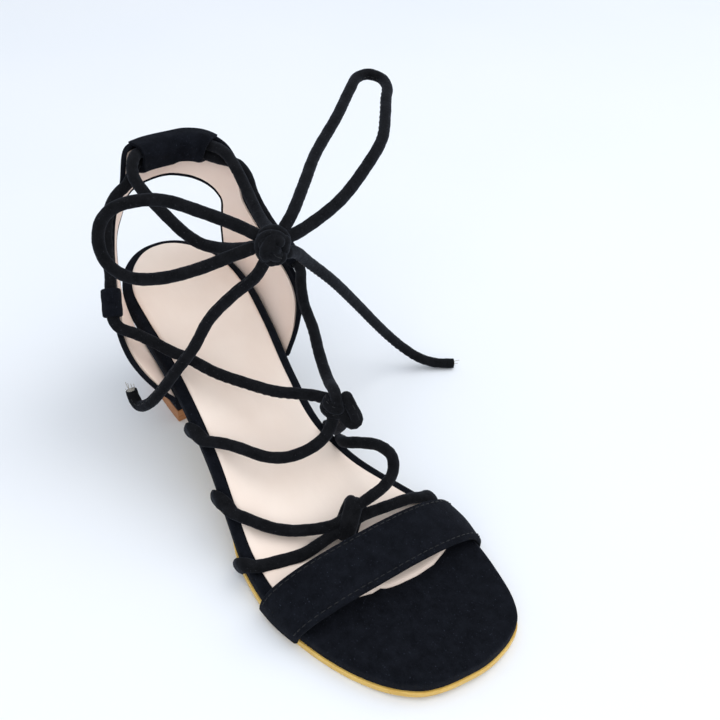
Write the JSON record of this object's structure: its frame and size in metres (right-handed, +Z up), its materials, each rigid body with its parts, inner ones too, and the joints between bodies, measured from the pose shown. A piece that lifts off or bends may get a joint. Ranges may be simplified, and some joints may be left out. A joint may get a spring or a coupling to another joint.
{
  "type": "gladiator sandal",
  "caption": "Right-foot lace-up sandal with block heel, vamp strap, open-backed heel counter, knotted round laces and an ankle bow.",
  "frame": {"origin": "on the floor, at the heel's rest face under the middle of the heel seat", "axes": "+X from heel to toe, +Y to the medial (big toe) side, +Z up from the floor"},
  "size_m": [0.2376, 0.168, 0.1451],
  "materials": {
    "black_suede": "matte suede",
    "cord_suede": "matte suede over a round elastic core",
    "nude_lining": "smooth satin leather",
    "ochre_sole": "semi-matte",
    "tan_lift": "semi-matte"
  },
  "bodies": {
    "root": {"footbed": "black_suede", "sock_lining": "nude_lining", "outsole": "ochre_sole", "heel_block": "black_suede", "top_lift": "tan_lift", "vamp_strap": "black_suede", "heel_counter": "black_suede", "cord_tunnel": "black_suede", "keeper_lateral": "cord_suede", "keeper_medial": "cord_suede", "lacing_front": "cord_suede", "lacing_middle": "cord_suede", "edge_cord": "cord_suede", "ankle_cord": "cord_suede", "bow_knot": "cord_suede", "bow_loop_lateral": "cord_suede", "bow_loop_medial": "cord_suede", "bow_tail_lateral": "cord_suede", "bow_tail_medial": "cord_suede"}
  },
  "joints": []
}
